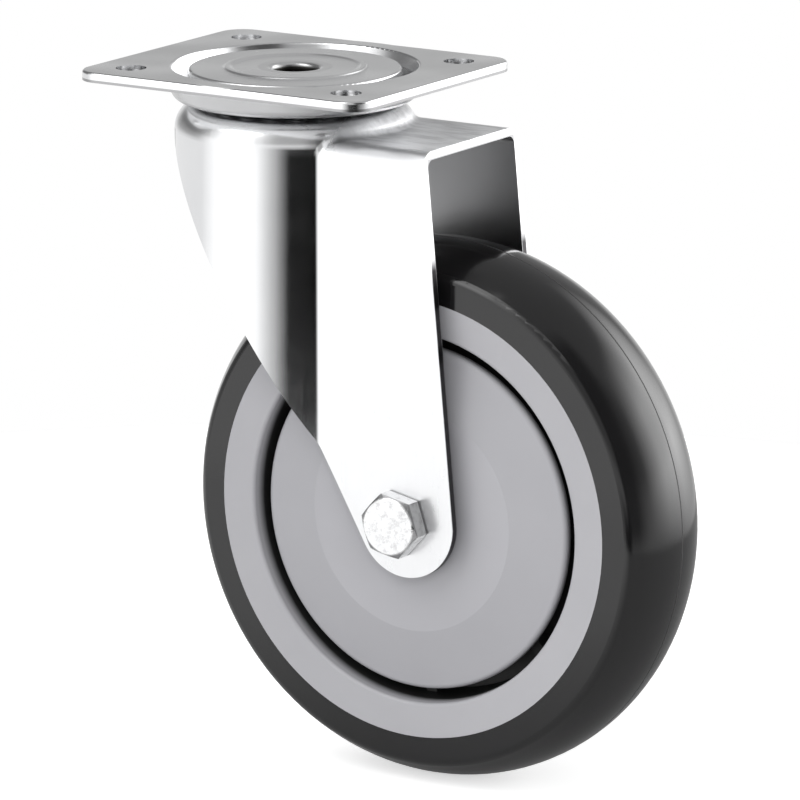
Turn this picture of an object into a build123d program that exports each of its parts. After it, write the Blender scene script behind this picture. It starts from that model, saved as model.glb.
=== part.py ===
"""Swivel castor: a 160 x 40 mm wheel in a pressed steel fork under a 100 x 85 mm top plate.

Millimetres. The origin is the centre of the plate's top, mounting face, on the swivel axis.
+Z is up, +X is the way the wheel trails, and the bolt head is on the -Y side.
"""

import os
from math import asin, atan2, cos, floor, hypot, pi, radians, sin, sqrt

from build123d import *

os.makedirs("parts", exist_ok=True)

# ---------------------------------------------------------------- driving dimensions

# top plate
plate_length = 100.0
plate_width = 85.0
plate_thickness = 3.0
plate_corner_radius = 8.0
hole_edge_distance = 12.5
plate_hole_diameter = 9.0

punched_edge_radius = 0.8

# rings pressed into the plate: a trough outside the upper race and a low ridge inside it
ball_to_trough = 2.7
trough_inner_slope = 0.8
trough_floor_width = 1.4
trough_outer_slope = 2.9
trough_to_head = 0.2
race_land_depth = 0.7
ball_to_ridge = 0.3
ridge_outer_slope = 0.7
ridge_crest_width = 1.3
ridge_inner_slope = 1.0
ridge_depth = 0.1
centre_land_depth = 0.6
press_bend_radius = 0.8

# swivel head
head_ball_diameter = 7.0
upper_race_radius = 25.0
lower_race_radius = 20.0
race_groove_depth = 0.4
ball_clearance = 0.05
ball_spacing = 0.5
lower_race_thickness = 2.5
lower_race_rim_height = 5.0
lower_race_margin = 1.0
kingpin_bore_diameter = 13.0
kingpin_shank_diameter = 18.0
kingpin_shoulder_step = 2.0
kingpin_head_step = 2.0
kingpin_flange_step = 3.0
kingpin_flange_thickness = 1.0
kingpin_mouth_radius = 2.0
kingpin_clearance = 2.5

# fork
trail = 52.5
fork_thickness = 2.5
leg_to_wheel = 3.1
crown_to_tyre = 26.9
race_to_head_edge = 10.4
head_shoulder_radius = 8.5
crown_step = 6.1
crown_bend_radius = 5.0
head_blend_radius = 3.0
crown_front_ahead = 8.0
leg_tip_radius = 16.1
leg_tip_ahead = 2.0
back_edge_step = 1.0
back_edge_hollow = 1.6

# axle bolt, nut and sleeves
axle_diameter = 10.0
axle_hole_clearance = 0.1
hex_across_flats = 17.0
hex_corner_chamfer = 1.0
hex_face_margin = 0.4
bolt_head_height = 6.4
bolt_head_turn = 12.0
bolt_end_stand_out = 1.5
bolt_end_chamfer = 1.0
nut_height = 10.0
nut_collar_height = 2.5
nut_collar_wall = 0.9
nut_collar_lip = 0.6
nut_lip_opening = 1.2
axle_tube_diameter = 15.0
spacer_diameter = 19.0
fit_clearance = 0.03

# wheel centre
wheel_diameter = 160.0
wheel_width = 40.0
rim_face_width = 10.0
rim_bore_draft = 1.6
rim_dish = 0.8
rim_edge_radius = 1.0
rim_seat_depth = 3.0
rim_flange_width = 4.0
web_thickness = 5.0
rib_count = 8
rib_thickness = 3.5
rib_width = 17.0
hub_diameter = 44.0
hub_land_diameter = 30.0

# tyre
tyre_height = 14.8
flank_inset = 0.6
shoulder_inset = 2.0
shoulder_drop = 5.85
flank_drop = 7.9

# thread guards
guard_to_rim = 3.8
guard_inset = 3.2
guard_thickness = 2.2
guard_edge_radius = 1.6
guard_centre_diameter = 67.0
guard_centre_rise = 2.8
guard_skirt_wall = 2.0
guard_bore_clearance = 0.6

# wheel bearings
bearing_outer_diameter = 35.0
bearing_width = 11.0
bearing_inset = 5.5
bearing_ball_diameter = 6.0
bearing_ball_count = 8
bearing_ball_clearance = 0.03
bearing_land = 1.1
cage_wall = 2.0
cage_width = 7.2
cage_clearance = 0.1
shield_thickness = 0.5
shield_inset = 0.4
shield_gap = 0.25

# ---------------------------------------------------------------- places worked out from them

head_ball_radius = head_ball_diameter / 2
race_land_z = -race_land_depth
centre_under_z = -centre_land_depth - plate_thickness
upper_ball_z = race_land_z - plate_thickness + race_groove_depth - ball_clearance - head_ball_radius
head_top_z = upper_ball_z - head_ball_radius - ball_clearance + race_groove_depth
head_under_z = head_top_z - fork_thickness
lower_ball_z = head_under_z + race_groove_depth - ball_clearance - head_ball_radius
lower_race_z = lower_ball_z - head_ball_radius - ball_clearance + race_groove_depth
trough_inner_radius = upper_race_radius + head_ball_radius + ball_to_trough
trough_floor_inner_radius = trough_inner_radius + trough_inner_slope
trough_floor_outer_radius = trough_floor_inner_radius + trough_floor_width
trough_outer_radius = trough_floor_outer_radius + trough_outer_slope
trough_floor_z = head_top_z + plate_thickness + trough_to_head
ridge_foot_radius = upper_race_radius - head_ball_radius - ball_to_ridge
ridge_crest_radius = ridge_foot_radius - ridge_outer_slope
kingpin_shank_radius = kingpin_shank_diameter / 2
kingpin_head_radius = kingpin_shank_radius + kingpin_head_step
kingpin_head_under_z = -centre_land_depth - kingpin_head_step
kingpin_shoulder_radius = kingpin_shank_radius + kingpin_shoulder_step
kingpin_flange_radius = kingpin_shank_radius + kingpin_flange_step
crown_z = head_top_z - crown_step
head_radius = upper_race_radius + race_to_head_edge
wheel_radius = wheel_diameter / 2
rim_half_width = wheel_width / 2
leg_inner_y = rim_half_width + leg_to_wheel
leg_outer_y = leg_inner_y + fork_thickness
axle_z = crown_z - fork_thickness - crown_to_tyre - wheel_radius
tip_x = trail + leg_tip_ahead
axle_hole_radius = axle_diameter / 2 + axle_hole_clearance
bearing_outer_y = rim_half_width - bearing_inset
bearing_inner_y = bearing_outer_y - bearing_width
axle_plane = Plane(origin=(trail, 0, axle_z), x_dir=(0, 1, 0), z_dir=(1, 0, 0))
axle_axis = Axis((trail, 0, axle_z), (0, 1, 0))


def across_axle(y):
    """The plane square to the axle at the distance y along it."""
    return Plane(origin=(trail, y, axle_z), x_dir=(1, 0, 0), z_dir=(0, 1, 0))


# ---------------------------------------------------------------- top plate
# One pressed sheet: a flat border with four holes, a deep trough that stiffens it and
# shields the balls, the flat land whose underside is the upper race, and a low ridge round
# the centre land, which is countersunk for the kingpin. Punching leaves its outer edge round.

pressed_radius = trough_outer_radius + 2 * plate_thickness
hole_spacing_x = plate_length - 2 * hole_edge_distance
hole_spacing_y = plate_width - 2 * hole_edge_distance

with BuildPart() as top_plate:
    with BuildSketch(Plane.XY.offset(-plate_thickness)):
        RectangleRounded(plate_length, plate_width, plate_corner_radius)
    extrude(amount=plate_thickness)
    fillet(top_plate.edges().group_by(Axis.Z)[-1], punched_edge_radius)
    with BuildSketch():
        Circle(pressed_radius)
        with GridLocations(hole_spacing_x, hole_spacing_y, 2, 2):
            Circle(plate_hole_diameter / 2)
    extrude(amount=-plate_thickness, mode=Mode.SUBTRACT)
    # the pressed rings: the space over the sheet, grown by the thickness, less that space
    with BuildSketch(Plane.XZ):
        with BuildLine():
            FilletPolyline(
                (pressed_radius, 0),
                (trough_outer_radius, 0),
                (trough_floor_outer_radius, trough_floor_z),
                (trough_floor_inner_radius, trough_floor_z),
                (trough_inner_radius, race_land_z),
                (ridge_foot_radius, race_land_z),
                (ridge_crest_radius, -ridge_depth),
                (ridge_crest_radius - ridge_crest_width, -ridge_depth),
                (ridge_crest_radius - ridge_crest_width - ridge_inner_slope, -centre_land_depth),
                (kingpin_shank_radius, -centre_land_depth),
                radius=press_bend_radius,
            )
            Polyline(
                (kingpin_shank_radius, -centre_land_depth),
                (kingpin_shank_radius, -trough_floor_z),
                (pressed_radius, -trough_floor_z),
                (pressed_radius, 0),
            )
        space_above = make_face()
        offset(space_above, amount=plate_thickness)
        add(space_above, mode=Mode.SUBTRACT)
        with Locations((kingpin_shank_radius, 0)):
            Rectangle(
                pressed_radius - kingpin_shank_radius,
                2 * plate_thickness - trough_floor_z,
                align=(Align.MIN, Align.MAX),
                mode=Mode.INTERSECT,
            )
    revolve(axis=Axis.Z)
    with BuildSketch(Plane.XZ):
        with Locations((upper_race_radius, upper_ball_z)):
            Circle(head_ball_radius + ball_clearance)
        Polygon(
            (kingpin_shank_radius, kingpin_head_under_z),
            (kingpin_head_radius, -centre_land_depth),
            (kingpin_shank_radius, -centre_land_depth),
            align=None,
        )
    revolve(axis=Axis.Z, mode=Mode.SUBTRACT)
top_plate.part.label = "top_plate"
export_step(top_plate.part, "parts/top_plate.step")

# ---------------------------------------------------------------- kingpin
# A hollow shouldered rivet. Its head is spread flush into the plate's centre land and its foot
# under the lower race, and its shoulder keeps the two apart so that the balls run free.

lower_race_under_z = lower_race_z - lower_race_thickness

with BuildPart() as kingpin:
    with BuildSketch(Plane.XZ):
        with BuildLine():
            Polyline(
                (kingpin_bore_diameter / 2, -centre_land_depth),
                (kingpin_head_radius, -centre_land_depth),
                (kingpin_shank_radius, kingpin_head_under_z),
                (kingpin_shank_radius, centre_under_z),
                (kingpin_shoulder_radius, centre_under_z),
                (kingpin_shoulder_radius, lower_race_z),
                (kingpin_shank_radius, lower_race_z),
                (kingpin_shank_radius, lower_race_under_z),
                (kingpin_flange_radius, lower_race_under_z),
                (kingpin_flange_radius, lower_race_under_z - kingpin_flange_thickness),
                (kingpin_bore_diameter / 2, lower_race_under_z - kingpin_flange_thickness),
                close=True,
            )
        make_face()
    revolve(axis=Axis.Z)
    top_rims = kingpin.edges().filter_by(GeomType.CIRCLE).group_by(Axis.Z)[-1]
    fillet(top_rims.sort_by(SortBy.RADIUS)[0], kingpin_mouth_radius)
kingpin.part.label = "kingpin"
export_step(kingpin.part, "parts/kingpin.step")

# ---------------------------------------------------------------- lower race
# A pressed dish under the fork's head, clamped by the kingpin, with a rim round its balls.

lower_race_outer = lower_race_radius + head_ball_radius + lower_race_margin + lower_race_thickness

with BuildPart() as lower_race:
    with BuildSketch(Plane.XZ):
        with BuildLine():
            FilletPolyline(
                (kingpin_shank_radius, lower_race_under_z),
                (lower_race_outer, lower_race_under_z),
                (lower_race_outer, lower_race_under_z + lower_race_rim_height),
                radius=lower_race_thickness + press_bend_radius,
            )
            offset(amount=lower_race_thickness, side=Side.LEFT)
        make_face()
    revolve(axis=Axis.Z)
    with BuildSketch(Plane.XZ):
        with Locations((lower_race_radius, lower_ball_z)):
            Circle(head_ball_radius + ball_clearance)
    revolve(axis=Axis.Z, mode=Mode.SUBTRACT)
lower_race.part.label = "lower_race"
export_step(lower_race.part, "parts/lower_race.step")

# ---------------------------------------------------------------- balls of the swivel head


def balls_that_fit(ring_radius, diameter):
    """How many balls fill a ring, with a little room between them."""
    return floor(2 * pi * ring_radius / (diameter + ball_spacing))


with BuildPart() as upper_balls:
    with Locations((0, 0, upper_ball_z)):
        with PolarLocations(upper_race_radius, balls_that_fit(upper_race_radius, head_ball_diameter)):
            Sphere(head_ball_radius)
upper_balls.part.label = "upper_balls"
export_step(upper_balls.part, "parts/upper_balls.step")

with BuildPart() as lower_balls:
    with Locations((0, 0, lower_ball_z)):
        with PolarLocations(lower_race_radius, balls_that_fit(lower_race_radius, head_ball_diameter)):
            Sphere(head_ball_radius)
lower_balls.part.label = "lower_balls"
export_step(lower_balls.part, "parts/lower_balls.step")

# ---------------------------------------------------------------- fork
# One deep-drawn sheet. A round cup holds the swivel bearing and runs down as the rounded
# back wall, and a channel ahead of it has the flat crown on top and the two legs. The outer
# form is hollowed by the sheet's thickness, and what is left is cut to the side outline.

fork_floor_z = axle_z - leg_tip_radius - 2 * fork_thickness
fork_reach = tip_x + leg_tip_radius + 2 * fork_thickness
cut_clearance = 2.0
outline_back_x = -head_radius - cut_clearance
outline_top_z = head_top_z + cut_clearance
back_top_z = head_top_z - back_edge_step
front_lean = (tip_x + leg_tip_radius - trail - crown_front_ahead) / (crown_z - axle_z)

# the back edge runs from the back of the cup to a tangent on the leg tip, hollowed at its middle
tip_distance = hypot(tip_x + head_radius, back_top_z - axle_z)
back_edge_length = sqrt(tip_distance**2 - leg_tip_radius**2)
back_edge_angle = atan2(back_top_z - axle_z, tip_x + head_radius) + asin(leg_tip_radius / tip_distance)
contact_angle = back_edge_angle + 2 * atan2(2 * back_edge_hollow, back_edge_length)


def on_cup(point):
    """Whether a point lies on the cup's wall or on its rounded shoulder."""
    outward = hypot(point.X, point.Y) - head_radius + head_shoulder_radius
    upward = max(0, point.Z - head_top_z + head_shoulder_radius)
    return abs(hypot(outward, upward) - head_shoulder_radius) < 0.01


def meets_cup(edge):
    """Whether an edge is one of those along which the channel runs into the round cup."""
    middle = edge @ 0.5
    ahead = middle.X > 0 and fork_floor_z + 0.1 < middle.Z < crown_z + 0.01
    return ahead and on_cup(middle) and on_cup(edge @ 0.3)


with BuildPart() as fork:
    with BuildSketch(Plane.XY.offset(fork_floor_z)):
        Circle(head_radius)
    extrude(amount=head_top_z - fork_floor_z)
    fillet(fork.edges().group_by(Axis.Z)[-1], head_shoulder_radius)
    with BuildSketch(Plane.YZ):
        with BuildLine():
            FilletPolyline(
                (-leg_outer_y, fork_floor_z),
                (-leg_outer_y, crown_z),
                (leg_outer_y, crown_z),
                (leg_outer_y, fork_floor_z),
                radius=crown_bend_radius,
            )
            Line((leg_outer_y, fork_floor_z), (-leg_outer_y, fork_floor_z))
        make_face()
    extrude(amount=fork_reach)
    fillet(fork.edges().filter_by(meets_cup), head_blend_radius)
    offset(fork.part, amount=-fork_thickness, mode=Mode.SUBTRACT)
    # the side outline: the hollowed back edge, the round leg tip and the straight front edge
    with BuildSketch(Plane.XZ.offset(-head_radius - cut_clearance)):
        with BuildLine():
            back_top = (-head_radius, back_top_z)
            tip_back = (
                tip_x - leg_tip_radius * sin(contact_angle),
                axle_z - leg_tip_radius * cos(contact_angle),
            )
            back_edge = Line(back_top, tip_back, mode=Mode.PRIVATE)
            hollow = (
                (back_edge @ 0.5).X + back_edge_hollow * sin(back_edge_angle),
                (back_edge @ 0.5).Y + back_edge_hollow * cos(back_edge_angle),
            )
            ThreePointArc(back_top, hollow, tip_back)
            ThreePointArc(tip_back, (tip_x, axle_z - leg_tip_radius), (tip_x + leg_tip_radius, axle_z))
            Polyline(
                (tip_x + leg_tip_radius, axle_z),
                (trail + crown_front_ahead - front_lean * (outline_top_z - crown_z), outline_top_z),
                (outline_back_x, outline_top_z),
                (outline_back_x, back_top_z),
                back_top,
            )
        make_face()
    extrude(amount=2 * (head_radius + cut_clearance), mode=Mode.INTERSECT)
    # the bore round the kingpin, the two ball grooves and the axle holes
    with BuildSketch(Plane.XY.offset(head_top_z)):
        Circle(kingpin_shoulder_radius + kingpin_clearance)
    extrude(amount=-fork_thickness, mode=Mode.SUBTRACT)
    with BuildSketch(Plane.XZ):
        with Locations((upper_race_radius, upper_ball_z), (lower_race_radius, lower_ball_z)):
            Circle(head_ball_radius + ball_clearance)
    revolve(axis=Axis.Z, mode=Mode.SUBTRACT)
    with BuildSketch(across_axle(-leg_outer_y)):
        Circle(axle_hole_radius)
    extrude(amount=2 * leg_outer_y, mode=Mode.SUBTRACT)
fork.part.label = "fork"
export_step(fork.part, "parts/fork.step")

# ---------------------------------------------------------------- axle
# A hexagon bolt from the near side, its lock nut with a nylon ring, and what the wheel runs
# on between the legs: a tube, a spacer at each end and one between the bearings.

hex_corner_radius = hex_across_flats / 2 / cos(radians(30))
nut_end_y = leg_outer_y + nut_height
nut_hex_end_y = nut_end_y - nut_collar_height
collar_outer_radius = hex_across_flats / 2 - nut_collar_wall


def rounded_off(inner_y, outer_y):
    """The turned form that rounds off a hexagon's corners on the face at outer_y."""
    toward = 1 if outer_y > inner_y else -1
    with BuildPart() as turned:
        with BuildSketch(axle_plane):
            Polygon(
                (inner_y, 0),
                (inner_y, hex_corner_radius),
                (outer_y - toward * hex_corner_chamfer, hex_corner_radius),
                (outer_y, hex_across_flats / 2 - hex_face_margin),
                (outer_y, 0),
                align=None,
            )
        revolve(axis=axle_axis)
    return turned.part


with BuildPart() as axle_bolt:
    with BuildSketch(across_axle(-leg_outer_y)):
        RegularPolygon(hex_across_flats / 2, 6, major_radius=False, rotation=bolt_head_turn)
    extrude(amount=-bolt_head_height)
    add(rounded_off(-leg_outer_y, -leg_outer_y - bolt_head_height), mode=Mode.INTERSECT)
    with BuildSketch(across_axle(-leg_outer_y)):
        Circle(axle_diameter / 2)
    extrude(amount=leg_outer_y + nut_end_y + bolt_end_stand_out)
    chamfer(axle_bolt.edges().group_by(Axis.Y)[-1], bolt_end_chamfer)
axle_bolt.part.label = "axle_bolt"
export_step(axle_bolt.part, "parts/axle_bolt.step")

with BuildPart() as axle_nut:
    with BuildSketch(across_axle(leg_outer_y)):
        RegularPolygon(hex_across_flats / 2, 6, major_radius=False)
    extrude(amount=nut_hex_end_y - leg_outer_y)
    add(rounded_off(leg_outer_y, nut_hex_end_y), mode=Mode.INTERSECT)
    with BuildSketch(across_axle(nut_hex_end_y)):
        Circle(collar_outer_radius)
    extrude(amount=nut_collar_height)
    fillet(axle_nut.edges().group_by(Axis.Y)[-1], nut_collar_wall)
    with BuildSketch(across_axle(nut_hex_end_y)):
        Circle(collar_outer_radius - nut_collar_wall)
    extrude(amount=nut_collar_height - nut_collar_lip, mode=Mode.SUBTRACT)
    with BuildSketch(across_axle(leg_outer_y)):
        Circle(axle_hole_radius)
    extrude(amount=nut_height, mode=Mode.SUBTRACT)
    with BuildSketch(across_axle(nut_end_y)):
        Circle(axle_hole_radius + nut_lip_opening)
    extrude(amount=-nut_collar_lip, mode=Mode.SUBTRACT)
axle_nut.part.label = "axle_nut"
export_step(axle_nut.part, "parts/axle_nut.step")

with BuildPart() as nut_insert:
    with BuildSketch(across_axle(nut_hex_end_y)):
        Circle(collar_outer_radius - nut_collar_wall)
        Circle(axle_hole_radius, mode=Mode.SUBTRACT)
    extrude(amount=nut_collar_height - nut_collar_lip)
nut_insert.part.label = "nut_insert"
export_step(nut_insert.part, "parts/nut_insert.step")


def axle_sleeve(start_y, end_y, outer_radius, bore_radius):
    """A plain sleeve on the axle between two distances along it."""
    with BuildPart() as sleeve:
        with BuildSketch(across_axle(start_y)):
            Circle(outer_radius)
            Circle(bore_radius, mode=Mode.SUBTRACT)
        extrude(amount=end_y - start_y)
    return sleeve.part


tube_radius = axle_tube_diameter / 2
on_tube_radius = tube_radius + fit_clearance
spacer_radius = spacer_diameter / 2
sleeves = {
    "axle_tube": axle_sleeve(-leg_inner_y, leg_inner_y, tube_radius, axle_hole_radius),
    "near_spacer": axle_sleeve(-leg_inner_y, -bearing_outer_y, spacer_radius, on_tube_radius),
    "far_spacer": axle_sleeve(bearing_outer_y, leg_inner_y, spacer_radius, on_tube_radius),
    "inner_spacer": axle_sleeve(-bearing_inner_y, bearing_inner_y, spacer_radius, on_tube_radius),
}
for name, sleeve in sleeves.items():
    sleeve.label = name
    export_step(sleeve, f"parts/{name}.step")

# ---------------------------------------------------------------- wheel centre
# One moulding: the rim with the channelled seat of the tyre, a web with ribs on both sides,
# and the hub with a seat for a bearing at each end.

rim_radius = wheel_radius - tyre_height
rim_bore_radius = rim_radius - rim_face_width
rim_face_slope_y = rim_half_width - rim_dish
hub_radius = hub_diameter / 2
bearing_seat_radius = bearing_outer_diameter / 2 + fit_clearance
web_y = web_thickness / 2
rib_y = rib_width / 2
seat_y = rim_half_width - rim_flange_width

with BuildPart() as wheel_centre:
    with BuildSketch(axle_plane):
        Polygon(
            (0, rim_bore_radius - rim_bore_draft),
            (rim_face_slope_y, rim_bore_radius),
            (rim_half_width, rim_radius),
            (seat_y, rim_radius),
            (seat_y, rim_radius - rim_seat_depth),
            (0, rim_radius - rim_seat_depth),
            align=None,
        )
        Polygon(
            (0, rim_bore_radius),
            (0, hub_land_diameter / 2),
            (bearing_inner_y, hub_land_diameter / 2),
            (bearing_inner_y, bearing_seat_radius),
            (bearing_outer_y, bearing_seat_radius),
            (bearing_outer_y, hub_radius),
            (web_y, hub_radius),
            (web_y, rim_bore_radius),
            align=None,
        )
        mirror(about=Plane.YZ)
    revolve(axis=axle_axis)
    with BuildSketch(across_axle(-rib_y)):
        with PolarLocations((hub_radius + rim_bore_radius) / 2, rib_count):
            Rectangle(rim_bore_radius - hub_radius + 2 * rib_thickness, rib_thickness)
        Circle(hub_radius - rib_thickness, mode=Mode.SUBTRACT)
    extrude(amount=rib_width)
    rim_edges = wheel_centre.edges().filter_by(
        lambda e: e.geom_type == GeomType.CIRCLE and abs(abs(e.arc_center.Y) - rim_face_slope_y) < 0.01
    )
    fillet(rim_edges, rim_edge_radius)
wheel_centre.part.label = "wheel_centre"
export_step(wheel_centre.part, "parts/wheel_centre.step")

# ---------------------------------------------------------------- tyre
# A band of grey rubber moulded round the rim. Its crown is one long arc, and a shoulder and a
# short flank on each side meet the rim's flange.

flank_y = rim_half_width - flank_inset
flank_radius = wheel_radius - flank_drop
shoulder_y = rim_half_width - shoulder_inset
shoulder_radius = wheel_radius - shoulder_drop
seat_radius = rim_radius - rim_seat_depth

with BuildPart() as tyre:
    with BuildSketch(axle_plane):
        with BuildLine():
            Polyline(
                (-flank_y, flank_radius),
                (-rim_half_width, rim_radius),
                (-seat_y, rim_radius),
                (-seat_y, seat_radius),
                (seat_y, seat_radius),
                (seat_y, rim_radius),
                (rim_half_width, rim_radius),
                (flank_y, flank_radius),
            )
            crown = ThreePointArc(
                (-shoulder_y, shoulder_radius),
                (0, wheel_radius),
                (shoulder_y, shoulder_radius),
            )
            TangentArc(crown @ 1, (flank_y, flank_radius), tangent=crown % 1)
            TangentArc(crown @ 0, (-flank_y, flank_radius), tangent=-(crown % 0))
        make_face()
    revolve(axis=axle_axis)
tyre.part.label = "tyre"
export_step(tyre.part, "parts/tyre.step")

# ---------------------------------------------------------------- thread guards
# A disc on each side of the wheel, flat at its centre and coned back to its edge. It clips
# over the end of the hub with a skirt that reaches the ribs, and stays clear of the rim and
# of the spacer that passes through it.

guard_edge_y = rim_half_width - guard_inset
guard_centre_y = guard_edge_y + guard_centre_rise
guard_radius = rim_bore_radius - guard_to_rim
guard_bore_radius = spacer_radius + guard_bore_clearance
skirt_inner_radius = hub_radius + fit_clearance


def thread_guard(side):
    """The guard on the side -1 (near) or +1 (far) of the wheel."""
    with BuildPart() as guard:
        with BuildSketch(axle_plane):
            with BuildLine():
                Polyline(
                    (side * guard_centre_y, guard_bore_radius),
                    (side * guard_centre_y, guard_centre_diameter / 2),
                    (side * guard_edge_y, guard_radius),
                    (side * (guard_edge_y - guard_thickness), guard_radius),
                    (side * (guard_centre_y - guard_thickness), guard_centre_diameter / 2),
                    (side * (guard_centre_y - guard_thickness), skirt_inner_radius + guard_skirt_wall),
                    (side * rib_y, skirt_inner_radius + guard_skirt_wall),
                    (side * rib_y, skirt_inner_radius),
                    (side * bearing_outer_y, skirt_inner_radius),
                    (side * bearing_outer_y, guard_bore_radius),
                    close=True,
                )
            make_face()
        revolve(axis=axle_axis)
        outer_rims = guard.edges().filter_by(
            lambda e: e.geom_type == GeomType.CIRCLE and e.radius > guard_radius - 0.1
        )
        fillet(outer_rims.sort_by(lambda e: side * e.arc_center.Y)[-1], guard_edge_radius)
    return guard.part


for name, side in (("near_thread_guard", -1), ("far_thread_guard", 1)):
    guard = thread_guard(side)
    guard.label = name
    export_step(guard, f"parts/{name}.step")

# ---------------------------------------------------------------- wheel bearings
# A single-row ball bearing in each end of the hub. Each has an inner ring on the axle tube,
# an outer ring in the hub, balls in a windowed cage, and a sheet shield on either face.

bearing_middle_y = (bearing_inner_y + bearing_outer_y) / 2
bearing_outer_radius = bearing_outer_diameter / 2
bearing_pitch_radius = (tube_radius + bearing_outer_radius) / 2
bearing_ball_radius = bearing_ball_diameter / 2
bearing_groove_radius = bearing_ball_radius + bearing_ball_clearance
inner_ring_radius = bearing_pitch_radius - bearing_ball_radius + bearing_land
outer_ring_radius = bearing_pitch_radius + bearing_ball_radius - bearing_land


def bearing_ring(side, bore_radius, outer_radius):
    """A ring of one bearing, with the ball groove on whichever face is towards the balls."""
    with BuildPart() as ring:
        with BuildSketch(across_axle(side * bearing_middle_y - bearing_width / 2)):
            Circle(outer_radius)
            Circle(bore_radius, mode=Mode.SUBTRACT)
        extrude(amount=bearing_width)
        with BuildSketch(axle_plane):
            with Locations((side * bearing_middle_y, bearing_pitch_radius)):
                Circle(bearing_groove_radius)
        revolve(axis=axle_axis, mode=Mode.SUBTRACT)
    return ring.part


def bearing_balls(side):
    """The balls of one bearing."""
    with BuildPart() as balls:
        with Locations(across_axle(side * bearing_middle_y)):
            with PolarLocations(bearing_pitch_radius, bearing_ball_count):
                Sphere(bearing_ball_radius)
    return balls.part


def bearing_cage(side):
    """The cage of one bearing: a ring with a square window for each ball."""
    cage_window = 2 * (bearing_ball_radius + cage_clearance)
    with BuildPart() as cage:
        with BuildSketch(across_axle(side * bearing_middle_y - cage_width / 2)):
            Circle(bearing_pitch_radius + cage_wall / 2)
            Circle(bearing_pitch_radius - cage_wall / 2, mode=Mode.SUBTRACT)
        extrude(amount=cage_width)
        with Locations(across_axle(side * bearing_middle_y)):
            with PolarLocations(bearing_pitch_radius, bearing_ball_count):
                Box(2 * cage_wall, cage_window, cage_window, mode=Mode.SUBTRACT)
    return cage.part


def bearing_shields(side):
    """The two shields of one bearing, held in the outer ring and clear of the inner one."""
    half_apart = bearing_width / 2 - shield_inset
    with BuildPart() as shields:
        for start_y in (-half_apart, half_apart - shield_thickness):
            with BuildSketch(across_axle(side * bearing_middle_y + start_y)):
                Circle(outer_ring_radius - fit_clearance)
                Circle(inner_ring_radius + shield_gap, mode=Mode.SUBTRACT)
            extrude(amount=shield_thickness)
    return shields.part


for where, side in (("near", -1), ("far", 1)):
    bearing = {
        "inner_ring": bearing_ring(side, on_tube_radius, inner_ring_radius),
        "outer_ring": bearing_ring(side, outer_ring_radius, bearing_outer_radius),
        "balls": bearing_balls(side),
        "cage": bearing_cage(side),
        "shields": bearing_shields(side),
    }
    for piece_name, piece in bearing.items():
        piece.label = f"{where}_bearing_{piece_name}"
        export_step(piece, f"parts/{where}_bearing_{piece_name}.step")
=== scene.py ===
from math import cos, pi, radians, sin

import bpy
from mathutils import Matrix, Vector


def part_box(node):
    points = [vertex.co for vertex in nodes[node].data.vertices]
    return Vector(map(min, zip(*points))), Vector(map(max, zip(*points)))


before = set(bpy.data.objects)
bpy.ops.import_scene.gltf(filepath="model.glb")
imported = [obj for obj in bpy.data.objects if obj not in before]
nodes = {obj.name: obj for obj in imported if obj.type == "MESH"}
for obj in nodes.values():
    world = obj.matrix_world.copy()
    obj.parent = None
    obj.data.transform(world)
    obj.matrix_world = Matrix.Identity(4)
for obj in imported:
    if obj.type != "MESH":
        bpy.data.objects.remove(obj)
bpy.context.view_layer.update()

# ---------------------------------------------------------------- top plate
# The plate is one sheet of 3 mm steel, pressed into rings and plated with bright zinc. The
# plating is smooth and mirror-like, with a faint cloudiness and fine lines from the rolling
# of the sheet.


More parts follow.
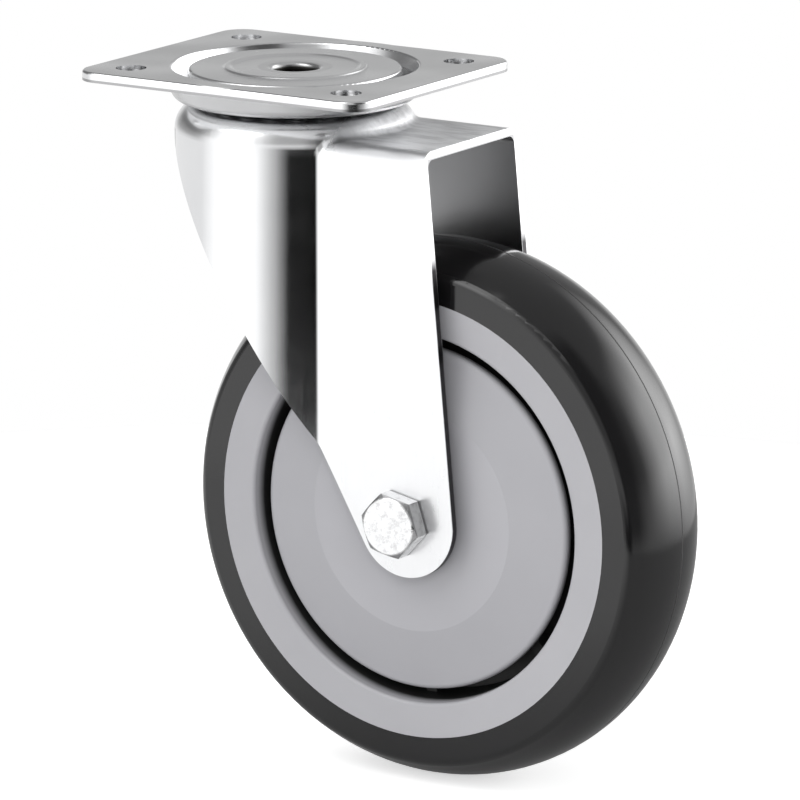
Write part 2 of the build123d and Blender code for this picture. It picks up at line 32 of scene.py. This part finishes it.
class Wire:
    """A shader socket that can be used in sums. Each operation adds its own node."""

    def __init__(self, tree, socket):
        self.tree = tree
        self.socket = socket

    def node(self, kind, settings=None, inputs=None, output=0):
        """Adds a node with its settings, feeds its sockets and gives back one of its outputs."""
        made = self.tree.nodes.new(kind)
        for name, value in (settings or {}).items():
            setattr(made, name, value)
        for name, value in (inputs or {}).items():
            if isinstance(value, Wire):
                self.tree.links.new(value.socket, made.inputs[name])
            else:
                made.inputs[name].default_value = value
        return Wire(self.tree, made.outputs[output])

    def math(self, operation, other=0.0, swapped=False):
        """A sum on this value and another one, or the other way round where swapped."""
        first, second = (other, self) if swapped else (self, other)
        return self.node("ShaderNodeMath", {"operation": operation}, {0: first, 1: second})

    def __add__(self, other):
        return self.math("ADD", other)

    __radd__ = __add__

    def __sub__(self, other):
        return self.math("SUBTRACT", other)

    def __rsub__(self, other):
        return self.math("SUBTRACT", other, swapped=True)

    def __mul__(self, other):
        return self.math("MULTIPLY", other)

    __rmul__ = __mul__

    def __pow__(self, power):
        return self.math("POWER", power)

    def __abs__(self):
        return self.math("ABSOLUTE")

    def at_least(self, other):
        return self.math("MAXIMUM", other)

    def at_most(self, other):
        return self.math("MINIMUM", other)

    def parts(self):
        """The three parts of a vector."""
        made = self.tree.nodes.new("ShaderNodeSeparateXYZ")
        self.tree.links.new(self.socket, made.inputs[0])
        return [Wire(self.tree, output) for output in made.outputs]

    def scaled(self, factors):
        """A vector with each of its parts multiplied by its own factor."""
        return self.node("ShaderNodeVectorMath", {"operation": "MULTIPLY"}, {0: self, 1: factors})

    def noise(self, per_metre, detail=2.0, roughness=0.5):
        """Soft noise around 0.5 at this place, with so many lumps to the metre."""
        inputs = {"Vector": self, "Scale": per_metre, "Detail": detail, "Roughness": roughness}
        return self.node("ShaderNodeTexNoise", None, inputs)

    def between(self, low, high):
        """0 below low and 1 above high, with an even slope between them."""
        inputs = {"Value": self, "From Min": low, "From Max": high}
        return self.node("ShaderNodeMapRange", None, inputs)

    def tint(self, low, high):
        """A colour between two, by this value."""
        inputs = {0: self, 6: (*low, 1), 7: (*high, 1)}
        return self.node("ShaderNodeMix", {"data_type": "RGBA"}, inputs, 2)

    def mixed(self, factor, other, clamp=True):
        """This colour mixed with another one by a factor, which may pass 1 if not clamped."""
        settings = {"data_type": "RGBA", "clamp_factor": clamp}
        return self.node("ShaderNodeMix", settings, {0: factor, 6: self, 7: (*other, 1)}, 2)

    def relief(self, strength, depth, **under):
        """The normal of a surface that this value raises by up to a depth in metres."""
        inputs = {"Strength": strength, "Distance": depth, "Height": self, **under}
        return self.node("ShaderNodeBump", None, inputs)


def new_finish(name, **even):
    """A material with its even values set, its shader, and a wire of object coordinates."""
    finish = bpy.data.materials.new(name)
    finish.use_nodes = True
    tree = finish.node_tree
    shader = tree.nodes["Principled BSDF"]
    for socket, value in even.items():
        shader.inputs[socket.replace("_", " ")].default_value = value
    place = Wire(tree, tree.nodes.new("ShaderNodeTexCoord").outputs["Object"])
    return finish, shader, place


def feed(shader, **varying):
    """Joins what changes over the surface to the shader's sockets."""
    for socket, wire in varying.items():
        wire.tree.links.new(wire.socket, shader.inputs[socket.replace("_", " ")])


def coat(finish, *names):
    """Gives CAD nodes their finish."""
    for name in names:
        nodes[name].data.materials.clear()
        nodes[name].data.materials.append(finish)


dull_zinc, light_zinc = (0.80, 0.805, 0.82), (0.90, 0.905, 0.91)
shade_and_bare_grey = (0.34, 0.34, 0.345)
polished_zinc = 0.07
line_depth = 0.00002


def bright_zinc(name, grain, wave, rough, shade_and_wear):
    """Bright zinc plating, with rolling lines along the direction whose grain is smallest.

    wave is the depth of the sheet's slight waves, in metres. The two functions after it are given
    the wire of places. They tell how much rougher than the rest each place is, and how grey it is
    painted: mostly as painted shade, and in places for torn steel or scuffs.
    """
    finish, shader, place = new_finish(name, Metallic=1.0)
    clouds = place.noise(70, 3)
    lines = place.scaled(grain).noise(900, 4, 0.6)
    # The grey mixed in below is mostly painted shade, with torn steel and scuffs in places.
    shade_and_wear_mask = shade_and_wear(place)
    bright = (clouds * 0.7 + lines * 0.3).tint(dull_zinc, light_zinc)
    roughness = polished_zinc + clouds * 0.05 + lines * 0.04 + rough(place) + shade_and_wear_mask * 0.05
    waves = place.noise(24, 1).relief(1.0, wave)
    feed(
        shader,
        Base_Color=bright.mixed(shade_and_wear_mask, shade_and_bare_grey, clamp=False),
        Roughness=roughness,
        Normal=lines.relief(0.15, line_depth, Normal=waves),
    )
    return finish


plate_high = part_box("top_plate")[1]
plate_corner_radius = 0.008
sheet_thickness = 0.003
sheared_depth = 0.0021
pressed_radius = 0.0375
pressed_blend = 0.003
hole_spacing = Vector((0.075, 0.060, 0))
hole_radius = 0.0045
torn_and_shade_greyness = 0.9
dish_shade_greyness = 0.6
pressed_roughness = 0.09
plate_rolling = (0.06, 1, 1)
plate_wave = 0.0010
tenth_mm = 0.0001


def length(first, second):
    """The length of a flat vector, from its two parts."""
    return (first * first + second * second) ** 0.5


def shade_on_edges_and_dish(place):
    """Painted shade under the dish and on the torn lower third of the edges and hole walls."""
    east, north, up = place.parts()
    corner = length(
        (abs(east) - (plate_high.x - plate_corner_radius)).at_least(0.0),
        (abs(north) - (plate_high.y - plate_corner_radius)).at_least(0.0),
    )
    edge = corner.between(plate_corner_radius - 3 * tenth_mm, plate_corner_radius - tenth_mm)
    hole = length(abs(east) - hole_spacing.x / 2, abs(north) - hole_spacing.y / 2)
    hole_wall = 1 - hole.between(hole_radius + tenth_mm, hole_radius + 2 * tenth_mm)
    torn = 1 - up.between(-sheared_depth - 2 * tenth_mm, -sheared_depth)
    dish = 1 - up.between(-sheet_thickness - 6 * tenth_mm, -sheet_thickness - 2 * tenth_mm)
    return ((edge + hole_wall) * torn * torn_and_shade_greyness).at_least(dish * dish_shade_greyness)


def plate_roughness(place):
    """The pressed rings come out of the press a little duller than the flat sheet."""
    east, north, up = place.parts()
    pressed = 1 - length(east, north).between(pressed_radius - pressed_blend, pressed_radius)
    return place.noise(25) * 0.10 + pressed * pressed_roughness


plate_zinc = bright_zinc("plate_zinc", plate_rolling, plate_wave, plate_roughness, shade_on_edges_and_dish)
coat(plate_zinc, "top_plate")

# ---------------------------------------------------------------- kingpin, lower race and balls
# The kingpin is a turned rivet that holds the head together. Under the fork it clamps a
# pressed race, and polished balls run over and under the fork's head.

turning_marks = (1, 1, 12)
turned_colours = (0.70, 0.71, 0.72), (0.84, 0.84, 0.85)
turned_zinc, shader, place = new_finish("turned_zinc", Metallic=1.0)
rings = place.scaled(turning_marks).noise(700, 3)
feed(
    shader,
    Base_Color=rings.tint(*turned_colours),
    Roughness=0.16 + rings * 0.14,
)
coat(turned_zinc, "lower_race")

bore_radius = 0.0065
mouth_radius = 0.002
dark_bore_rivet, shader, place = new_finish("dark_bore_rivet", Metallic=1.0)
east, north, up = place.parts()
from_axis = length(east, north)
in_bore = 1 - from_axis.between(bore_radius + tenth_mm, bore_radius + 0.3 * mouth_radius)
rings = place.scaled(turning_marks).noise(700, 3)
plated = rings.tint(*turned_colours)
# The rivet's bore is coloured near black, and rougher than its turned plating.
bore_black = (0.035, 0.034, 0.032)
feed(
    shader,
    Base_Color=plated.mixed(in_bore, bore_black),
    Roughness=0.16 + rings * 0.14 + in_bore * 0.2,
)
coat(dark_bore_rivet, "kingpin")

polished_steel, shader, place = new_finish("polished_steel", Metallic=1.0)
smears = place.noise(400, 2)
feed(
    shader,
    Base_Color=smears.tint((0.62, 0.62, 0.64), (0.72, 0.72, 0.73)),
    Roughness=0.06 + smears * 0.08,
)
coat(polished_steel, "upper_balls", "lower_balls")

# ---------------------------------------------------------------- fork
# The fork is drawn from one sheet, so its grain runs down the cup and the legs. It has the
# plate's bright zinc plating.

cup_edge_x = 0.026
leg_start_x = 0.033
shoulder_low_z = -0.021
shoulder_high_z = -0.016
fork_thickness = 0.0025
leg_inside_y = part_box("far_spacer")[1].y
leg_outside_y = leg_inside_y + fork_thickness
crown_top_z = -0.0161
crown_under_z = -0.0183
edge_reflection_z = -0.050
edge_reflection_fade = 0.005
crown_grain = (0.25, 1, 1)
flat_roughness = 0.17
shoulder_roughness = 0.10
edge_reflection_greyness = 1.55
scuff_and_shade_greyness = 0.42
fork_rolling = (1, 1, 0.06)
fork_wave = 0.00012


def on_crown(east, up):
    """1 on the flat top of the channel."""
    flat = east.between(cup_edge_x, leg_start_x)
    return flat * up.between(crown_top_z - 12 * tenth_mm, crown_top_z - 2 * tenth_mm)


def duller_flats(place):
    """The flats and the cup's shoulder are duller than its wall, which the die burnishes."""
    east, north, up = place.parts()
    flats = east.between(cup_edge_x, leg_start_x)
    shoulder = up.between(shoulder_low_z, shoulder_high_z)
    streaks = place.scaled(crown_grain).noise(260, 4, 0.65)
    scuffed = on_crown(east, up) * (streaks * 0.22 - 0.04)
    return flats * flat_roughness + shoulder * shoulder_roughness + scuffed


def channel_edge_and_crown_shade(place):
    """Painted shade in the channel and on the scuffed crown, and a painted dark reflection on the
    legs' edges.
    """
    east, north, up = place.parts()
    between_legs = 1 - abs(north).between(leg_inside_y + tenth_mm, leg_inside_y + 4 * tenth_mm)
    under_crown = 1 - up.between(crown_under_z, crown_under_z + 3 * tenth_mm)
    in_sheet = 1 - abs(north).between(leg_outside_y - 4 * tenth_mm, leg_outside_y - tenth_mm)
    # The legs' cut edges at the wheel's height are painted darker than bare grey, as a painted dark
    # reflection of the wheel.
    sheared = in_sheet * (1 - between_legs)
    sheared = sheared * east.between(leg_start_x, leg_start_x + 20 * tenth_mm)
    sheared = sheared * (1 - up.between(edge_reflection_z, edge_reflection_z + edge_reflection_fade))
    # The crown's streaks are real scuffs, and their darkness is painted shade under the plate.
    streaks = place.scaled(crown_grain).noise(330, 5, 0.65).between(0.42, 0.66)
    scuffed = on_crown(east, up) * streaks * scuff_and_shade_greyness
    return between_legs * under_crown + sheared * edge_reflection_greyness + scuffed


fork_zinc = bright_zinc("fork_zinc", fork_rolling, fork_wave, duller_flats, channel_edge_and_crown_shade)
coat(fork_zinc, "fork")

# ---------------------------------------------------------------- axle
# The plated hexagon bolt and its lock nut are forged, so their faces are pitted. Their sides,
# the ring of their chamfers and a line where they meet the legs are painted darker, as shade.
# The plain steel sleeves between the legs are drawn, and the nut's locking ring is nylon, which
# serves for the bearings' cages too.

axle_x, axle_z = 0.0525, -0.1255
bolt_face_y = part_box("axle_bolt")[0].y
bolt_face_radius = 0.0081
hexagon_chamfer = 0.0011
shank_radius = 0.005
pit_depth = 0.0001
side_shade = 0.28
chamfer_shade = 0.5

forged_zinc, shader, place = new_finish("forged_zinc", Metallic=1.0)
east, north, up = place.parts()
pits = place.noise(520, 4, 0.65).between(0.47, 0.66)
from_axle = length(east - axle_x, up - axle_z)
on_face = 1 - north.between(bolt_face_y + tenth_mm, bolt_face_y + 3 * tenth_mm)
trimmed = from_axle.between(bolt_face_radius - tenth_mm, bolt_face_radius + tenth_mm)
chamfer_y = bolt_face_y + hexagon_chamfer
trimmed = trimmed * (1 - north.between(chamfer_y, chamfer_y + 2 * tenth_mm))
under_head_shade = 1 - abs(north).between(leg_outside_y + 3 * tenth_mm, leg_outside_y + 8 * tenth_mm)
past_shank = from_axle.between(shank_radius + 5 * tenth_mm, shank_radius + 10 * tenth_mm)
# The sides, the chamfer's ring and a line at the base against the leg are painted shade.
shaded = (1 - on_face) * (side_shade + trimmed * chamfer_shade) + under_head_shade * past_shank
plated = pits.tint((0.90, 0.905, 0.91), (0.70, 0.70, 0.71))
shade_grey = (0.20, 0.20, 0.205)
feed(
    shader,
    Base_Color=plated.mixed(shaded, shade_grey),
    Roughness=0.10 + pits * 0.18,
    Normal=pits.relief(0.4, pit_depth),
)
coat(forged_zinc, "axle_bolt", "axle_nut")

drawn_steel, shader, place = new_finish("drawn_steel", Metallic=1.0)
draw_lines = place.scaled((1, 0.05, 1)).noise(1500, 3)
feed(
    shader,
    Base_Color=draw_lines.tint((0.52, 0.52, 0.53), (0.66, 0.66, 0.67)),
    Roughness=0.25 + draw_lines * 0.2,
)
coat(drawn_steel, "axle_tube", "near_spacer", "far_spacer", "inner_spacer")

nylon, shader, place = new_finish("nylon", Roughness=0.45)
feed(shader, Base_Color=place.noise(300).tint((0.66, 0.66, 0.60), (0.74, 0.74, 0.69)))
coat(nylon, "nut_insert", "near_bearing_cage", "far_bearing_cage")

# ---------------------------------------------------------------- wheel centre and thread guards
# The wheel centre and the two dished thread guards are moulded in grey polypropylene, with the
# fine even grain of the mould's walls. The gap behind the guards' edges is painted black as shade,
# and their dished part is coloured a little darker, as it looks in the shade.

rim_bore_radius = 0.0552
guard_radius = 0.0514
guard_centre_radius = 0.0335
gap_shade_y = 0.0172
gap_shade_fade = 0.003
grain_depth = 0.00003
gap_shade = (0.02, 0.02, 0.02)
cone_shade = 0.07


def moulded(name, low, high, roughness):
    """Moulded plastic: an even colour with soft clouds, a fine grain, and painted shade behind
    guards.
    """
    finish, shader, place = new_finish(name)
    east, north, up = place.parts()
    clouds = place.noise(45, 3)
    grain = place.noise(2600, 2)
    from_axle = length(east - axle_x, up - axle_z)
    # The gap behind the guards' edges is painted near black, as shade.
    behind = 1 - from_axle.between(rim_bore_radius + 4 * tenth_mm, rim_bore_radius + 9 * tenth_mm)
    behind = behind * (1 - abs(north).between(gap_shade_y - gap_shade_fade, gap_shade_y))
    cone = from_axle.between(guard_centre_radius - tenth_mm, guard_centre_radius + 2 * tenth_mm)
    cone = cone * (1 - from_axle.between(guard_radius, guard_radius + 3 * tenth_mm))
    feed(
        shader,
        Base_Color=clouds.tint(low, high).mixed(behind.at_least(cone * cone_shade), gap_shade),
        Roughness=roughness + grain * 0.12,
        Normal=grain.relief(0.3, grain_depth),
    )
    return finish


rim_plastic = moulded("rim_plastic", (0.405, 0.403, 0.425), (0.445, 0.443, 0.465), 0.36)
coat(rim_plastic, "wheel_centre")
guard_plastic = moulded("guard_plastic", (0.400, 0.398, 0.422), (0.440, 0.438, 0.462), 0.32)
coat(guard_plastic, "near_thread_guard", "far_thread_guard")

# ---------------------------------------------------------------- tyre
# The tyre is dark rubber, moulded smooth and glossy onto the rim. A fine line runs round the
# middle of the tread, where the two halves of the mould part.

parting_line_y = 0.00012, 0.00035
bloom_colours = (0.0060, 0.0058, 0.0062), (0.0095, 0.0092, 0.0098)

rubber, shader, place = new_finish("tyre_rubber", Specular_IOR_Level=0.62)
east, north, up = place.parts()
bloom = place.noise(60, 4)
grain = place.noise(1800, 2)
parting_line = 1 - abs(north).between(*parting_line_y)
feed(
    shader,
    Base_Color=bloom.tint(*bloom_colours),
    Roughness=0.08 + bloom * 0.07 + grain * 0.04 + parting_line * 0.6,
    Normal=(grain + parting_line * 8).relief(0.2, grain_depth),
)
coat(rubber, "tyre")

# ---------------------------------------------------------------- wheel bearings
# The bearings' rings and balls are ground steel, and pressed steel shields close them. They
# sit in the hub, and show only in the gaps around the spacers.

bearing_pieces = ("inner_ring", "outer_ring", "balls", "shields")
for side in ("near", "far"):
    coat(polished_steel, *(f"{side}_bearing_{piece}" for piece in bearing_pieces))

# ---------------------------------------------------------------- studio
# A white table stands in a studio whose walls, shades and lamps are painted on the world, with
# one soft lamp low beside the camera. Beyond the table the camera sees plain white, and every
# other ray, off metal too, sees the painted studio.

camera_azimuth = radians(33.0)
camera_elevation = radians(12.92)
camera_roll = radians(-0.16)
camera_distance = 2.197
axis_right_of_centre = -0.03057
axis_above_centre = 0.09798
focal_pixels = 7525
picture_pixels = 800
sensor_width = 36

onward = Vector(
    (
        -sin(camera_azimuth) * cos(camera_elevation),
        cos(camera_azimuth) * cos(camera_elevation),
        -sin(camera_elevation),
    )
)
level_right = Vector((cos(camera_azimuth), sin(camera_azimuth), 0))
level_up = level_right.cross(onward)
right = cos(camera_roll) * level_right + sin(camera_roll) * level_up
up = cos(camera_roll) * level_up - sin(camera_roll) * level_right
eye = -axis_right_of_centre * right - axis_above_centre * up - camera_distance * onward

camera_data = bpy.data.cameras.new("camera")
camera_data.sensor_width = sensor_width
camera_data.lens = focal_pixels / picture_pixels * sensor_width
camera_data.clip_start = 0.1
camera_data.clip_end = 100
camera = bpy.data.objects.new("camera", camera_data)
camera_turn = Matrix((right, up, -onward)).transposed().to_4x4()
camera.matrix_world = Matrix.Translation(eye) @ camera_turn
bpy.context.scene.collection.objects.link(camera)
bpy.context.scene.camera = camera

world = bpy.data.worlds.new("studio")
bpy.context.scene.world = world
world.use_nodes = True
tree = world.node_tree
tree.nodes.clear()
direction = Wire(tree, tree.nodes.new("ShaderNodeTexCoord").outputs["Generated"])
east, north, height = direction.parts()
studio_bearing = radians(-57)
toward = east * cos(studio_bearing) + north * sin(studio_bearing)
across = north * cos(studio_bearing) - east * sin(studio_bearing)
turn = across.math("ARCTAN2", toward)
rise = height.math("ARCSINE")


def within(angle, low, high, soft):
    """1 from one angle to the other, in degrees, fading to 0 over the soft angle outside both."""
    rising = angle.between(radians(low - soft), radians(low))
    return rising * (1 - angle.between(radians(high), radians(high + soft)))


def ray_kinds(tree):
    """1 for rays from the camera, and 1 for rays from it, off a mirror or through glass."""
    paths = tree.nodes.new("ShaderNodeLightPath").outputs
    camera_ray, glossy_ray, clear_ray = (
        Wire(tree, paths[f"Is {kind} Ray"]) for kind in ("Camera", "Glossy", "Transmission")
    )
    return camera_ray, (camera_ray + glossy_ray + clear_ray).at_most(1.0)


left_wall = within(turn, -75, -45, 25)
left_shade = within(turn, -150, -108, 16) * within(rise, 0, 70, 10)
right_shade = within(turn, 22, 52, 14) * within(rise, -8, 60, 10)
right_lamp = within(turn, 95, 125, 28) * rise.between(radians(-14), radians(6))
right_lamp = right_lamp * (1 - rise.between(radians(26), radians(48)))
near_lamp = within(turn, -88, -50, 14) * within(rise, 40, 68, 10)
far_lamp = within(turn, -64, 10, 16) * within(rise, 50, 54, 4)
soft_edge = turn.between(radians(-36), radians(-16))
hard_edge = turn.between(radians(-18), radians(-6))
dark_room = (soft_edge * 0.5 + hard_edge * 0.5) * (1 - turn.between(radians(25), radians(50)))
dark_room = dark_room * (1 - height.between(-0.15, 0.01))

wall_strength = 0.88
ceiling_loss = 0.46
left_wall_strength = 1.32
level = wall_strength - height.between(0.04, 0.18) * ceiling_loss
level = level + left_wall * (left_wall_strength - level)
right_depth, left_depth = 0.85, 0.6
level = level * (1 - right_shade * right_depth) * (1 - left_shade * left_depth) * (1 - dark_room)
right_strength, near_strength, far_strength = 3.8, 1.4, 0.7
level = level + right_lamp * right_strength + near_lamp * near_strength
level = level + far_lamp * far_strength
camera_ray = ray_kinds(tree)[0]
strength = camera_ray + (1 - camera_ray) * level
background = tree.nodes.new("ShaderNodeBackground")
background.inputs["Color"].default_value = (1, 1, 1, 1)
output = tree.nodes.new("ShaderNodeOutputWorld")
tree.links.new(strength.socket, background.inputs["Strength"])
tree.links.new(background.outputs[0], output.inputs["Surface"])

key_distance = 0.9
key_bearing = radians(-50)
key_rise = radians(20)
key_size = 0.6
key_watts = 2.7
key_data = bpy.data.lights.new("key", "AREA")
key_data.shape = "DISK"
key_data.size = key_size
key_data.energy = key_watts
key = bpy.data.objects.new("key", key_data)
key_level = Vector((cos(key_bearing), sin(key_bearing), 0))
key_from = cos(key_rise) * key_level + sin(key_rise) * Vector((0, 0, 1))
tyre_low, tyre_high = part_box("tyre")
key_place = Matrix.Translation((tyre_low + tyre_high) / 2 + key_distance * key_from)
key_turn = key_from.to_track_quat("Z", "Y").to_matrix().to_4x4()
key.matrix_world = key_place @ key_turn
key.visible_glossy = False
bpy.context.scene.collection.objects.link(key)

table_radius = 0.42
table_sides = 96
ring = []
for k in range(table_sides):
    round_table = 2 * pi * k / table_sides
    ring.append((table_radius * cos(round_table), table_radius * sin(round_table), tyre_low.z))
table_mesh = bpy.data.meshes.new("table")
table_mesh.from_pydata(ring, [], [tuple(range(table_sides))])
table = bpy.data.objects.new("table", table_mesh)
bpy.context.scene.collection.objects.link(table)

white, shadow_grey = (0.82, 0.82, 0.82), (0.36, 0.36, 0.36)
left_bearing = radians(-123)
table_white, shader, place = new_finish("table_white", Roughness=0.9, Emission_Strength=1.0)
east, north, up = place.parts()
camera_ray, seen_ray = ray_kinds(table_white.node_tree)
# In mirrors the table is painted shadow grey except on its left side, which glows there as painted
# light.
left_side = (east * cos(left_bearing) + north * sin(left_bearing)).between(-0.05, 0.15)
in_mirror = seen_ray - camera_ray
camera_glow, mirror_painted_light, left_painted_light = 0.5, 0.06, 0.30
glow = camera_ray * camera_glow + seen_ray * (mirror_painted_light + left_side * left_painted_light)
feed(
    shader,
    Base_Color=(in_mirror * (1 - left_side)).tint(white, shadow_grey),
    Emission_Color=glow.tint((0, 0, 0), (1, 1, 1)),
)
table_mesh.materials.append(table_white)

bpy.context.scene.view_settings.view_transform = "Standard"
